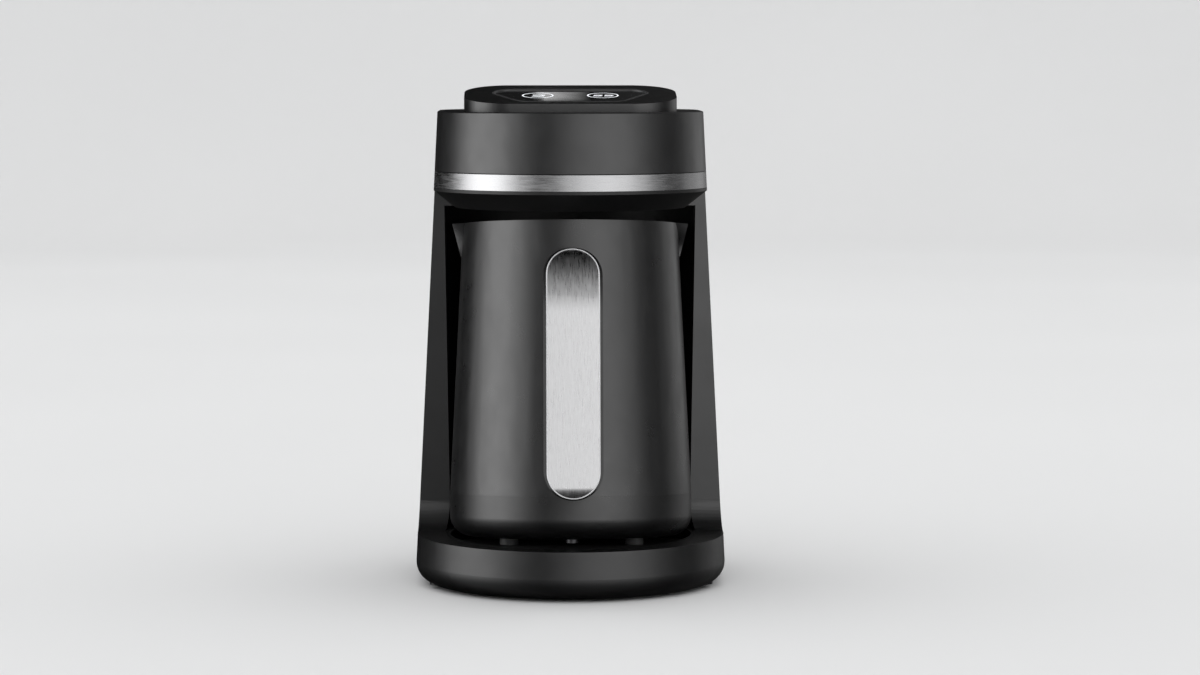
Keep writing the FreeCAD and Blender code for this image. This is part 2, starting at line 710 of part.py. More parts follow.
INLET_RISE = "(deck_height + inlet_lift)"


def make_rear():
    """The rear cover with its screws, the mains inlet and what the column holds behind the bay."""
    reach = ("0 - cover_half_width + fit_gap", "cover_half_width - fit_gap")
    tall = ("cover_low + fit_gap", "cover_high - fit_gap")
    slab = box(reach, ("body_back - 30", "body_back + 5"), tall)
    skin = cut(tapered("pan_height", "lip_bottom"), tapered("pan_height - 1", "lip_bottom + 1", "cover_wall"))
    lap = common(box(("0 - cover_half_width - cover_lap", "cover_half_width + cover_lap"),
                     ("body_back - 30", "body_back + 5"),
                     ("cover_low - cover_lap", "cover_high + cover_lap")),
                 cut(tapered("pan_height", "lip_bottom", "wall"),
                     tapered("pan_height - 1", "lip_bottom + 1", "wall + cover_wall")))
    holes = [solid("Cylinder", x, "body_back - 20", z, about_x="0 - 90", Radius="screw_radius + fit_gap",
                   Height="40") for x, z in COVER_SCREWS]
    vents = [box(("0 - 22", "22"), ("body_back - 30", "body_back + 5"), (z, z + " + 2")) for z in VENTS]
    node(cut(fuse(common(slab, skin), lap), *(holes + vents)), "rear_cover")
    heads = []
    for x, z in COVER_SCREWS:
        face = drawn_in("body_back", "(%s)" % z)
        heads.append(fuse(solid("Cylinder", x, face + " + 0.2", z, about_x="0 - 90",
                                Radius="screw_head_radius", Height="1.6"),
                          solid("Cylinder", x, face + " - screw_length", z, about_x="0 - 90",
                                Radius="screw_radius", Height="screw_length + 0.5")))
    node(group(*heads), "cover_screws")
    wall_y = drawn_in("body_back", INLET_RISE)
    bush = fuse(solid("Cylinder", 0, wall_y + " - wall - 4", INLET_RISE, about_x="0 - 90",
                      Radius="inlet_radius", Height="wall + 6"),
                solid("Cylinder", 0, wall_y + " + 0.4", INLET_RISE, about_x="0 - 90",
                      Radius="inlet_radius + 1.6", Height="1.8"),
                solid("Cylinder", 0, wall_y + " - wall - 4", INLET_RISE, about_x="0 - 90",
                      Radius="inlet_radius + 1.6", Height="3"))
    node(cut(bush, solid("Cylinder", 0, "body_back - 20", INLET_RISE, about_x="0 - 90",
                         Radius="inlet_bore", Height="40")), "cord_inlet")


COVER_SCREWS = [(x, z) for x in ("0 - cover_screw_x", "cover_screw_x")
                for z in ("cover_low + 8", "cover_high - 8")]
VENTS = ["cover_high - 30 - %d" % (6 * step) for step in range(6)]
COLUMN_Y = "(bay_center + bay_high_radius + liner_wall + 5)"
LEAD_START = "(pot_center + (%s + 16.8) * cos(lean) + (plug_rise + 1) * sin(lean) + 0.02)" % PLUG_FRONT
LEAD_RISE = "(%s + plug_rise * cos(lean) - (%s + 16.8) * sin(lean) - lead_width / 2)" % (POT_RISE, PLUG_FRONT)


def make_power():
    """The power board on its rails behind the bay, with its parts, and the leads to head and plug."""
    rails = [box((x, x + " + rail_width"), ("bay_center + bay_low_radius - 12", COLUMN_Y),
                 ("deck_height", "board_high")) for x in ("0 - rail_place - rail_width", "rail_place")]
    room = bay("liner_wall + 0.02", "deck_height - 1", "lip_bottom")
    block = lean_frame(box(("0 - plug_width", "plug_width"), (PLUG_FRONT, PLUG_FRONT + " + 40"),
                           ("plug_rise - plug_height / 2 - 2", "plug_rise + plug_height / 2 + 2")))
    node(cut(group(*rails), room, block), "board_rails")
    board = box(("0 - power_board_half_width", "power_board_half_width"),
                (COLUMN_Y, COLUMN_Y + " + board_thickness"), ("board_low", "board_high"))
    node(board, "power_board")
    face = COLUMN_Y + " + board_thickness"
    tall = (face, face + " + tall_part")
    shelf = "board_low + transformer_lift"
    node(box(("2 - transformer_width", "2"), tall, (shelf, shelf + " + transformer_width")), "transformer")
    node(box(("8", "8 + relay_width"), tall, (shelf, shelf + " + relay_height")), "relay")
    level = "board_low + terminal_lift"
    node(box(("0 - terminal_half_width", "terminal_half_width"), (face, face + " + terminal_depth"),
             (level, level + " + terminal_height")), "terminal_block")
    node(solid("Cylinder", "terminal_half_width - 6", face, "board_low + capacitor_lift", about_x="0 - 90",
               Radius="capacitor_radius", Height="tall_part - 1"), "filter_capacitor")
    under = "(band_bottom + 6)"
    over = under + " + ribbon_thickness"
    ribbon = new_body()
    sketch = sketch_in(ribbon, "YZ_Plane", "0 - ribbon_half_width")
    inner, outer = COLUMN_Y + " - ribbon_thickness", "board_back - 4"
    foot = "board_low + ribbon_lift"
    outline(sketch, [(inner, foot), (COLUMN_Y, foot), (COLUMN_Y, over), (outer, over), (outer, BOARD_Z),
                     (outer + " - ribbon_thickness", BOARD_Z), (outer + " - ribbon_thickness", under),
                     (inner, under)])
    pad(ribbon, sketch, "2 * ribbon_half_width")
    node(ribbon, "ribbon_cable")
    leads = []
    for x in PIN_PLACES:
        lead = new_body()
        sketch = sketch_in(lead, "YZ_Plane", "(%s) - lead_width / 2" % x)
        inner, outer = face + " + 2", face + " + 2 + lead_width"
        outline(sketch, [(LEAD_START, LEAD_RISE), (outer, LEAD_RISE), (outer, level), (inner, level),
                         (inner, LEAD_RISE + " + lead_width"), (LEAD_START, LEAD_RISE + " + lead_width")])
        pad(lead, sketch, "lead_width")
        leads.append(lead)
    node(group(*leads), "plug_leads")


def pot_radius(height, inset=0):
    """The outer radius of the pot's upper shell at a height above its bottom, drawn in by the inset."""
    draft = "((pot_seam_radius - pot_rim_radius) / (pot_height - pot_seam))"
    return "(pot_seam_radius - %s * (%s - pot_seam) - (%s))" % (draft, height, inset)


def spout(side, inset, low, high):
    """A pouring lip: a pointed sheaf that widens from the wall up to the rim, on the left or the right."""
    body = new_body()
    sketches = []
    reach = ("(%s + 0.3)" % pot_radius("(pot_height - spout_drop)", inset), "(spout_reach - (%s))" % inset)
    width = ("2", "(spout_half_width - (%s))" % inset)
    root = "pot_rim_radius - 12"
    for level, tip, half in zip((low, high), reach, width):
        sketch = sketch_in(body, "XY_Plane", level)
        wall, cheek, nose = ["(%s) * %s" % (reach, side) for reach in (root, tip + " - 7", tip)]
        outline(sketch, [(wall, "0 - %s - 3" % half), (wall, "%s + 3" % half), (cheek, half),
                         (nose, "1.5"), (nose, "0 - 1.5"), (cheek, "0 - %s" % half)])
        sketches.append(sketch)
    loft = body.newObject("PartDesign::AdditiveLoft", "Loft")
    loft.Profile = sketches[0]
    loft.Sections = sketches[1:]
    loft.Ruled = True
    return body


def make_pot():
    """The pot's double wall: the outer shell with its lips, the steel vessel and the closed base."""
    top = "pot_height"
    outer = turned([("0", "pot_seam"), (pot_radius("pot_seam"), "pot_seam"), (pot_radius(top), top),
                    ("0", top)])
    lips = [spout(side, "0", "pot_height - spout_drop", top) for side in ("1", "(0 - 1)")]
    inner = turned([("0", "pot_seam - 1"), (pot_radius("pot_seam", "pot_wall"), "pot_seam - 1"),
                    (pot_radius(top, "pot_wall"), "pot_height + 1"), ("0", "pot_height + 1")])
    channels = [spout(side, "pot_wall", "pot_height - vessel_drop - 3", "pot_height + 0.5")
                for side in ("1", "(0 - 1)")]
    ledge = turned([("pot_ledge_radius", "pot_seam"), (pot_radius("pot_seam", "pot_wall - 0.5"), "pot_seam"),
                    (pot_radius("pot_seam", "pot_wall - 0.5"), "pot_seam + 1.2"),
                    ("pot_ledge_radius", "pot_seam + 1.2")])
    posts = [solid("Cylinder", x, y, "pot_wall + fit_gap", Radius="screw_radius + boss_wall",
                   Height="pot_seam - pot_wall") for x, y in POT_SCREWS]
    shank_holes = [solid("Cylinder", x, y, "0 - 1", Radius="screw_radius + 0.05", Height="14")
                   for x, y in POT_SCREWS]
    shell = fuse(cut(fuse(outer, *lips), inner, *channels), ledge, *posts)
    node(lean_frame(cut(shell, *(shank_holes + handle_bores("screw_radius + 0.05")))), "pot_shell")

    side = "(pot_wall + vessel_gap)"
    floor = "vessel_floor"
    brim = "(pot_height - vessel_drop)"
    flange = pot_radius(brim, "pot_wall + fit_gap")
    vessel = turned([("0", floor), (pot_radius(floor, side), floor),
                     (pot_radius(brim, side), brim + " - vessel_wall"), (flange, brim + " - vessel_wall"),
                     (flange, brim), ("0", brim)])
    bowl = turned([("0", floor + " + vessel_wall"),
                   (pot_radius(floor, side + " + vessel_wall"), floor + " + vessel_wall"),
                   (pot_radius(brim, side + " + vessel_wall"), brim + " + 1"), ("0", brim + " + 1")])
    round_low_edge(vessel, "vessel_corner", floor)
    round_low_edge(bowl, "vessel_corner - vessel_wall", floor + " + vessel_wall")
    node(lean_frame(cut(vessel, bowl)), "pot_vessel")
    seal_top = brim + " - vessel_wall"
    seal = turned([(pot_radius(brim, side + " - 0.5"), seal_top + " - seal_height"),
                   (pot_radius(brim, "pot_wall + fit_gap"), seal_top + " - seal_height"),
                   (pot_radius(brim, "pot_wall + fit_gap"), seal_top),
                   (pot_radius(brim, side + " - 0.5"), seal_top)])
    node(lean_frame(seal), "rim_seal")

    cup = turned([("0", "0"), ("pot_seam_radius", "0"), ("pot_seam_radius", "pot_seam"), ("0", "pot_seam")])
    round_low_edge(cup, "pot_corner", "0")
    inside = "pot_seam_radius - pot_wall"
    hollow = turned([("0", "pot_wall"), (inside, "pot_wall"), (inside, "pot_seam + 1"),
                     ("0", "pot_seam + 1")])
    round_low_edge(hollow, "pot_corner - pot_wall", "pot_wall")
    opening = box(("0 - plug_width / 2", "plug_width / 2"), ("30", "80"), SOCKET_TALL)
    screw_holes = [solid("Cylinder", x, y, "0 - 1", Radius="screw_radius + fit_gap", Height="5")
                   for x, y in POT_SCREWS]
    node(lean_frame(cut(cup, hollow, opening, *screw_holes)), "pot_base")


def round_low_edge(body, radius, level):
    """Round the lowest outer edge of a turned piece."""
    rounded(body, radius, lambda edge: edge.BoundBox.ZLength < 0.01
            and abs(edge.BoundBox.ZMin - value(level)) < 0.01)


SOCKET_TALL = ("plug_rise - plug_height / 2", "plug_rise + plug_height / 2")
HANDLE_SCREWS = ["handle_low + 6", "handle_high - 5"]
POT_SCREWS = [("0", "0 - 44.5"), ("0 - 38.5", "22"), ("38.5", "22")]


def handle_bores(radius):
    """Holes through the pot's wall into the two arms of the handle."""
    return [solid("Cylinder", 0, "0 - (%s) - 14" % pot_radius(z), z, about_x="0 - 90", Radius=radius,
                  Height="20") for z in HANDLE_SCREWS]


def make_pot_parts():
    """What the pot's base holds, its feet and its screws."""
    node(lean_frame(solid("Cylinder", z="vessel_floor - heat_plate_thickness", Radius="heat_plate_radius",
                          Height="heat_plate_thickness")), "heat_plate")
    low = "vessel_floor - heat_plate_thickness"
    ring = solid("Torus", z=low + " - heat_tube_radius", Radius1="heat_ring_radius",
                 Radius2="heat_tube_radius", Angle3="320")
    node(lean_frame(ring), "heating_element")
    node(lean_frame(solid("Cylinder", z=low + " - 7", Radius="4", Height="7")), "temperature_sensor")
    node(lean_frame(box(("10", "24"), ("0 - 3", "3"), (low + " - 5", low))), "thermal_fuse")
    block = box(("0 - plug_width / 2 + fit_gap", "plug_width / 2 - fit_gap"),
                ("pot_seam_radius - socket_depth", "pot_seam_radius - 2.4"),
                ("plug_rise - plug_height / 2 + fit_gap", "plug_rise + plug_height / 2 - fit_gap"))
    bores = [solid("Cylinder", x, "pot_seam_radius - socket_depth + 2", "plug_rise", about_x="0 - 90",
                   Radius="pin_radius + pin_clearance + 0.75", Height="20") for x in PIN_PLACES]
    node(lean_frame(cut(block, *bores)), "pot_socket")
    sleeves = [cut(solid("Cylinder", x, "pot_seam_radius - socket_depth + 2", "plug_rise", about_x="0 - 90",
                         Radius="pin_radius + pin_clearance + 0.7", Height="9"),
                   solid("Cylinder", x, "pot_seam_radius - socket_depth + 1", "plug_rise", about_x="0 - 90",
                         Radius="pin_radius + pin_clearance", Height="20")) for x in PIN_PLACES]
    node(lean_frame(*sleeves), "socket_contacts")
    spots = [(x, y) for x in ("0 - foot_place", "foot_place") for y in ("0 - foot_place", "foot_place")]
    node(lean_frame(*[solid("Cylinder", x, y, "0 - foot_height", Radius="foot_radius",
                                  Height="foot_height") for x, y in spots]), "pot_feet")
    node(lean_frame(*screws([(x, y, "0") for x, y in POT_SCREWS], length="10")), "pot_base_screws")
    fixings = []
    for z in HANDLE_SCREWS:
        face = "0 - (%s)" % pot_radius(z, "pot_wall + 2 * fit_gap")
        fixings.append(fuse(solid("Cylinder", 0, face + " - screw_length", z, about_x="0 - 90",
                                  Radius="screw_radius", Height="screw_length + 0.2"),
                            solid("Cylinder", 0, face, z, about_x="0 - 90", Radius="screw_head_radius",
                                  Height="screw_head_height")))
    node(lean_frame(*fixings), "handle_screws")


def loop_block(inset):
    """The handle's side profile as a solid bar: a wide bend at its top and a tight one at its foot."""
    body = new_body()
    sketch = sketch_in(body, "YZ_Plane", "0 - handle_width")
    low, high = "handle_low + %s" % inset, "handle_high - (%s)" % inset
    foot = "0 - handle_reach_low + %s" % inset
    head = "0 - handle_reach_high + %s" % inset
    outline(sketch, [("0 - 20", low), (foot, low), (head, high), ("0 - 20", high)])
    pad(body, sketch, "2 * handle_width")
    for radius, level, reach in (("handle_bend", high, head), ("handle_foot_bend", low, foot)):
        rounded(body, "max(%s - (%s); handle_inner_bend)" % (radius, inset), corner_test(level, reach))
    return body


def corner_test(level, reach):
    height, depth = value(level), value(reach)
    return lambda edge: (edge.BoundBox.XLength > 1 and abs(edge.BoundBox.ZMin - height) < 0.01
                         and abs(edge.BoundBox.YMin - depth) < 0.01 and edge.BoundBox.YLength < 0.01)


def slot(width, margin):
    """A stadium seen from the front, through the whole depth of the handle."""
    low = "(handle_low + %s + %s / 2)" % (margin, width)
    high = "(handle_high - %s - %s / 2)" % (margin, width)
    ends = [solid("Cylinder", 0, "0 - handle_reach_low - 10", z, about_x="0 - 90", Radius=width + " / 2",
                  Height="handle_reach_low") for z in (low, high)]
    middle = box(("0 - %s / 2" % width, width + " / 2"), ("0 - handle_reach_low - 10", "0 - 10"), (low, high))
    return fuse(middle, *ends)


def make_handle():
    """The looped handle and the brushed steel strip let into its front."""
    loop = common(cut(loop_block("0"), loop_block("handle_thickness")), slot("handle_width", "0"))
    room = common(cut(loop_block("(0 - 1)"), loop_block("(inlay_thickness + 0.05)")),
                  slot("(inlay_width + 2 * fit_gap)", "(inlay_margin - fit_gap)"))
    wall = turned([("0", "0"), (pot_radius("0", "0 - 0.05"), "0"),
                   (pot_radius("pot_height", "0 - 0.05"), "pot_height"), ("0", "pot_height")])
    node(lean_frame(cut(loop, room, wall, *handle_bores("screw_radius + 0.05"))), "handle")
    strip = common(cut(loop_block("0"), loop_block("inlay_thickness")), slot("inlay_width", "inlay_margin"))
    node(lean_frame(cut(strip, turned([("0", "0"), (pot_radius("0", "0 - 0.3"), "0"),
                                       (pot_radius("pot_height", "0 - 0.3"), "pot_height"),
                                       ("0", "pot_height")]))), "handle_inlay")


def check_and_write():
    """Stop at anything that failed, then write each piece to its own file."""
    doc.recompute()
    failed = [thing.Name for thing in doc.Objects if {"Invalid", "Error"} & set(thing.State)]
    failed += [piece.Label for piece in NODES if piece.Shape.isNull() or not piece.Shape.isValid()]
    if failed:
        raise RuntimeError("these did not build: " + ", ".join(failed))
    os.makedirs("parts", exist_ok=True)
    for piece in NODES:
        piece.Shape.exportStep("parts/%s.step" % piece.Label)
        print(piece.Label, len(piece.Shape.Solids), "solids", round(piece.Shape.Volume / 1000, 2), "cm3")


for make in (make_pan, make_housing, make_bay, make_head, make_top, make_head_parts, make_rear, make_power,
             make_pot, make_pot_parts, make_handle):
    make()
check_and_write()
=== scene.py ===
import json
import math

import bmesh
import bpy
from bpy.props import FloatProperty, FloatVectorProperty, PointerProperty
from mathutils import Matrix, Vector


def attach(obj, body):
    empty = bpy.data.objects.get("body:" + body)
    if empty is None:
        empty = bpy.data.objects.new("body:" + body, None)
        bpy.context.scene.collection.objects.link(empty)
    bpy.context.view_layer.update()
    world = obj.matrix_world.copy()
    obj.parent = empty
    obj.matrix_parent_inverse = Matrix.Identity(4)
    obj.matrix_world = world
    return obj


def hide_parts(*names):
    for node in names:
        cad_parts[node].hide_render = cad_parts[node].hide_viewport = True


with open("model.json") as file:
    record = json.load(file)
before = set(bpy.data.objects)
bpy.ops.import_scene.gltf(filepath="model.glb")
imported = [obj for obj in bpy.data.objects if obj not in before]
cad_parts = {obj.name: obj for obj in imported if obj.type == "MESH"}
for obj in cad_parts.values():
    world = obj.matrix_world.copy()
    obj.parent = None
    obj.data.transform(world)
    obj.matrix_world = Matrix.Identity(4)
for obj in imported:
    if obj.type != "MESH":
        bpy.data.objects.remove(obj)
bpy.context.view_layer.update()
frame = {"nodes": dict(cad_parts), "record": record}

bl_info = {
    "name": "Coffee Pot Maker",
    "version": (1, 0, 0),
    "blender": (4, 5, 0),
    "location": "View3D > Sidebar > Coffee",
    "description": "Dresses the packed coffee pot maker with its finishes, edges, signs and studio",
    "category": "Object",
}

SLOT_OF = {entry["node"]: entry["material_slot"] for entry in frame["record"]["subparts"]}
BODIES = frame["record"]["behaviour"]["bodies"]
BODY_OF = {node: body for body, nodes in BODIES.items() for node in nodes}
MM = 0.001

# Nearest gap between points and the widest bend that still count as one flat, and as one soft face
WELD = 0.001 * MM
FLAT_BEND = math.radians(0.02)
SOFT_BEND = math.radians(12)

# The wings' front faces: where they stand, how the sides lean in, and how far their edge is drawn back
WING_FRONT = 16 * MM
SIDE_DRAFT = 0.05
WING_REACH = 0.3 * MM
WING_SWEEP = 2.2 * MM
SWEEP_RISE = 20 * MM
COVE_TOP = 38.3 * MM

# Beads on the machine and the pot, and the cups of the signs; the panel's lip and the strip's edge are
# coloured lighter as painted highlights
PANEL_LIP = 0.8 * MM
STRIP_LIP = 0.3 * MM
SIGN_LINE = 0.1 * MM
ONE_CUP = 3.0 * MM
TWO_CUPS = 2.1 * MM
CUP_SPACING = 5.4 * MM

# Depth of the grain moulded into the plastic and of the scratches brushed into the steel
GRAIN_DEPTH = 0.002 * MM
SCRATCH_DEPTH = 0.02 * MM

# The floor, and the room that only the gloss sees
FLOOR_REACH = 3.2
FLOOR_BEND = 0.7
WALL_HEIGHT = 1.2
ROOM_RADIUS = 1.3
ROOM_MIDDLE = 0.12

# The glare's corners on the panel, right and uphill of the middle between the rings; its card's distance
GLARE_ON_PANEL = [(-19.50 * MM, 24.64 * MM), (-12.37 * MM, -14.10 * MM), (10.31 * MM, -14.25 * MM),
                  (11.03 * MM, 24.82 * MM)]
GLARE_DISTANCE = 0.5

# How bright the reflections are by azimuth, in degrees from the front towards the right, and by rise
ROUND_LIGHT = [(-180, 0.004), (-150, 0.003), (-122, 0.01), (-107, 0.22), (-92, 0.85), (-80, 1.0),
               (-64, 0.98), (-50, 0.52), (-38, 0.22), (-27, 0.07), (-16, 0.12), (-2, 0.36), (12, 0.52),
               (30, 0.62), (46, 0.55), (60, 0.34), (72, 0.14), (84, 0.05), (100, 0.04), (114, 0.13),
               (136, 0.15), (160, 0.04), (180, 0.004)]
RISING_LIGHT = [(-90, 0.02), (-60, 0.03), (-34, 0.08), (-20, 0.19), (-12, 0.40), (-4, 0.9), (3, 1.15),
                (9, 0.9), (16, 1.1), (26, 0.85), (42, 0.45), (62, 0.30), (76, 0.14), (90, 0.08)]


def tone(name, label, value):
    return FloatVectorProperty(name=name, description=label, subtype="COLOR", size=3, min=0, max=1,
                               default=value)


def length(name, label, value):
    return FloatProperty(name=name, description=label, subtype="DISTANCE", unit="LENGTH", min=0,
                         precision=5, default=value)


class FinishSettings(bpy.types.PropertyGroup):
    case: tone("Case", "Satin black of the machine's shells", (0.0045, 0.0045, 0.0048))
    pot: tone("Pot", "Satin black of the pot and its handle", (0.0045, 0.0045, 0.0048))
    bay: tone("Bay", "Flat black of the bay, the seat and the head's underside",
              (0.0022, 0.0022, 0.0024))
    steel: tone("Steel", "Brushed steel of the band", (0.25, 0.25, 0.254))
    strip: tone("Strip", "Brushed steel of the handle's strip", (0.41, 0.41, 0.415))
    panel: tone("Panel", "Polished black of the touch panel", (0.0010, 0.0010, 0.0011))
    sign: tone("Signs", "Lit white of the rings and signs", (0.85, 0.87, 0.90))


class EdgeSettings(bpy.types.PropertyGroup):
    case: length("Case edges", "Rounding of the machine's shells", 0.6 * MM)
    pot: length("Pot edges", "Rounding of the pot's rim and seams", 0.5 * MM)
    grip: length("Grip edges", "Rounding along the looped handle", 0.6 * MM)
    fine: length("Fine edges", "Rounding of steel trim and the glossy panel", 0.3 * MM)
    vessel: length("Vessel edges", "Rounding of the steel vessel's rim", 0.24 * MM)


class StudioSettings(bpy.types.PropertyGroup):
    distance: length("Camera distance", "From the camera to the object's middle axis", 1.752)
    height: length("Camera height", "Above the table", 0.2563)
    side: FloatProperty(name="Camera azimuth", description="Turn of the camera to the object's left",
                        subtype="ANGLE", default=math.radians(-0.8))
    tilt: FloatProperty(name="Camera tilt", description="How far the camera looks down",
                        subtype="ANGLE", default=math.radians(4.455))
    turn: FloatProperty(name="Camera turn", description="How far the camera looks past the axis",
                        subtype="ANGLE", default=math.radians(0.471))
    lens: FloatProperty(name="Lens", description="Focal length in millimetres for a 36 mm wide picture",
                        min=1, default=108.0)
    floor: tone("Floor", "Pale floor", (0.80, 0.80, 0.80))
    air: tone("Air", "Pale surroundings", (0.95, 0.955, 0.96))
    gloss: FloatProperty(name="Gloss light", description="How bright the soft lights are in reflections",
                         min=0, default=4.6)
    glare: FloatProperty(name="Glare", description="How bright the card of light on the panel is", min=0,
                         default=1.1)
    daylight: FloatProperty(name="Daylight", description="How bright the surroundings are", min=0,
                            default=1.12)


def finishes():
    return bpy.context.scene.coffee_finishes


def edges():
    return bpy.context.scene.coffee_edges


# Materials

def new_material(name, colour, roughness, metallic=0.0, **sockets):
    """A material whose shader holds the plain numbers; returns it with its tree and shader."""
    material = bpy.data.materials.new(name)
    material.use_nodes = True
    tree = material.node_tree
    shader = next(node for node in tree.nodes if node.type == "BSDF_PRINCIPLED")
    shader.inputs["Base Color"].default_value = (*colour, 1)
    shader.inputs["Roughness"].default_value = roughness
    shader.inputs["Metallic"].default_value = metallic
    for socket, number in sockets.items():
        shader.inputs[socket.replace("_", " ")].default_value = number
    return material, tree, shader


def noise(tree, scale, detail=4.0, stretch=(1, 1, 1)):
    """Noise in the object's own metres, stretched along its axes."""
    place = tree.nodes.new("ShaderNodeTexCoord")
    mapping = tree.nodes.new("ShaderNodeMapping")
    mapping.inputs["Scale"].default_value = stretch
    texture = tree.nodes.new("ShaderNodeTexNoise")
    texture.inputs["Scale"].default_value = scale
    texture.inputs["Detail"].default_value = detail
    tree.links.new(place.outputs["Object"], mapping.inputs["Vector"])
    tree.links.new(mapping.outputs["Vector"], texture.inputs["Vector"])
    return texture.outputs["Fac"]


def spread(tree, source, low, high, start=0.3, end=0.7):
    """Map a 0 to 1 value onto a range."""
    ranged = tree.nodes.new("ShaderNodeMapRange")
    ranged.inputs["From Min"].default_value = start
    ranged.inputs["From Max"].default_value = end
    ranged.inputs["To Min"].default_value = low
    ranged.inputs["To Max"].default_value = high
    tree.links.new(source, ranged.inputs["Value"])
    return ranged.outputs["Result"]


def tint(tree, shader, source, colour, darker, brighter):
    """Vary the base colour about its middle with a value."""
    ramp = tree.nodes.new("ShaderNodeValToRGB")
    ramp.color_ramp.elements[0].position = 0.25
    ramp.color_ramp.elements[1].position = 0.75
    ramp.color_ramp.elements[0].color = (*[part * darker for part in colour], 1)
    ramp.color_ramp.elements[1].color = (*[min(1, part * brighter) for part in colour], 1)
    tree.links.new(source, ramp.inputs["Fac"])
    tree.links.new(ramp.outputs["Color"], shader.inputs["Base Color"])


def bump(tree, shader, source, depth, strength=1.0):
    """Raise the surface by a value, as deep as given in metres."""
    node = tree.nodes.new("ShaderNodeBump")
    node.inputs["Strength"].default_value = strength
    node.inputs["Distance"].default_value = depth
    tree.links.new(source, node.inputs["Height"])
    tree.links.new(node.outputs["Normal"], shader.inputs["Normal"])


def satin_plastic(name, colour, roughness=0.31, level=0.5):
    """Moulded plastic with a fine spark-eroded grain and slightly uneven gloss."""
    material, tree, shader = new_material(name, colour, roughness, Specular_IOR_Level=level)
    tint(tree, shader, noise(tree, 60), colour, 0.85, 1.15)
    tree.links.new(spread(tree, noise(tree, 90), roughness - 0.03, roughness + 0.04),
                   shader.inputs["Roughness"])
    bump(tree, shader, noise(tree, 3200, 1), GRAIN_DEPTH)
    return material


def brushed_steel(name, colour, stretch, roughness=0.30):
    """Steel brushed along one direction: long fine scratches over a soft, streaky gloss."""
    material, tree, shader = new_material(name, colour, roughness, metallic=1.0)
    streaks = noise(tree, 1.0, 6, stretch)
    tint(tree, shader, streaks, colour, 0.80, 1.15)
    tree.links.new(spread(tree, streaks, roughness - 0.07, roughness + 0.12), shader.inputs["Roughness"])
    bump(tree, shader, streaks, SCRATCH_DEPTH, 0.6)
    return material


STEELS = {"screw_steel": (0.045, 0.045, 0.047), "element_steel": (0.30, 0.29, 0.28),
          "heater_aluminium": (0.62, 0.62, 0.63)}
PLASTICS = {"rubber": ((0.012, 0.012, 0.012), 0.62), "seal_silicone": ((0.05, 0.05, 0.05), 0.5),
            "board_green": ((0.010, 0.075, 0.030), 0.32),
            "component_black": ((0.012, 0.012, 0.012), 0.42),
            "component_grey": ((0.16, 0.165, 0.17), 0.45), "cable_grey": ((0.20, 0.20, 0.21), 0.5),
            # The last two finishes colour painted highlights: the panel's lip a lighter grey than the
            # case, and the strip's edge a pale plastic
            "lip_painted_highlight": ((0.035, 0.035, 0.036), 0.4), "edge_painted_highlight": ((0.72, 0.72, 0.73), 0.3)}
BRASS = (0.70, 0.50, 0.20)
SMOKED_LENS = (0.012, 0.004, 0.008)
MATERIALS = {}


def polished(name, colour, roughness, scale, low, high, **sockets):
    """A glossy surface whose gloss varies a little, between a low and a high roughness."""
    material, tree, shader = new_material(name, colour, roughness, Specular_IOR_Level=0.6, **sockets)
    tree.links.new(spread(tree, noise(tree, scale), low, high), shader.inputs["Roughness"])
    return material


def make_materials():
    """One material for each slot of the record, and those of the strip and the beads."""
    wanted = finishes()
    lit, lit_tree, lit_shader = new_material("ring_white", wanted.sign, 0.35, Emission_Strength=0.75)
    lit_shader.inputs["Emission Color"].default_value = (*wanted.sign, 1)
    tint(lit_tree, lit_shader, noise(lit_tree, 900), wanted.sign, 0.92, 1.05)
    brass, brass_tree, brass_shader = new_material("contact_brass", BRASS, 0.28, 1.0)
    tint(brass_tree, brass_shader, noise(brass_tree, 400), BRASS, 0.8, 1.1)
    MATERIALS.update(
        ring_white=lit,
        contact_brass=brass,
        case_black=satin_plastic("case_black", wanted.case),
        pot_black=satin_plastic("pot_black", wanted.pot, 0.30),
        bay_black=satin_plastic("bay_black", wanted.bay, 0.48, level=0.35),
        brushed_steel=brushed_steel("brushed_steel", wanted.steel, (120, 120, 1900), 0.25),
        strip_steel=brushed_steel("strip_steel", wanted.strip, (1700, 100, 190), 0.30),
        vessel_steel=brushed_steel("vessel_steel", (0.55, 0.55, 0.56), (60, 60, 1500)),
        gloss_black=polished("gloss_black", wanted.panel, 0.05, 140, 0.035, 0.075, Coat_Weight=0.6,
                             Coat_Roughness=0.03),
        lens_smoke=polished("lens_smoke", SMOKED_LENS, 0.06, 200, 0.04, 0.09))
    for slot, colour in STEELS.items():
        MATERIALS[slot] = brushed_steel(slot, colour, (500, 500, 500), 0.38)
    for slot, (colour, roughness) in PLASTICS.items():
        MATERIALS[slot] = satin_plastic(slot, colour, roughness)


# Pieces

def placed(name, data):
    """A new object in the scene that shows a mesh, a curve or a camera."""
    thing = bpy.data.objects.new(name, data)
    bpy.context.scene.collection.objects.link(thing)
    return thing


def smooth(mesh, angle=32):
    """Shade a mesh smooth, apart from the edges that bend by more than an angle in degrees."""
    for polygon in mesh.polygons:
        polygon.use_smooth = True
    mesh.set_sharp_from_angle(angle=math.radians(angle))


def settle(piece, node, slot, finish=None, stands_for=True):
    """Give a piece its finish and its body, and hide the node that it stands for, where it stands for
    one.
    """
    piece.data.materials.clear()
    piece.data.materials.append(MATERIALS[finish or slot])
    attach(piece, BODY_OF[node])
    if stands_for:
        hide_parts(node)
    return piece


def soften(piece, width, segments=3, angle=30):
    """Round a piece's hard edges, as a mould or a press leaves them, and keep its flats flat."""
    bevel = piece.modifiers.new("edges", "BEVEL")
    bevel.width = width
    bevel.segments = segments
    bevel.limit_method = "ANGLE"
    bevel.angle_limit = math.radians(angle)
    bevel.harden_normals = True
    bevel.use_clamp_overlap = True
    even = piece.modifiers.new("even", "WEIGHTED_NORMAL")
    even.keep_sharp = True


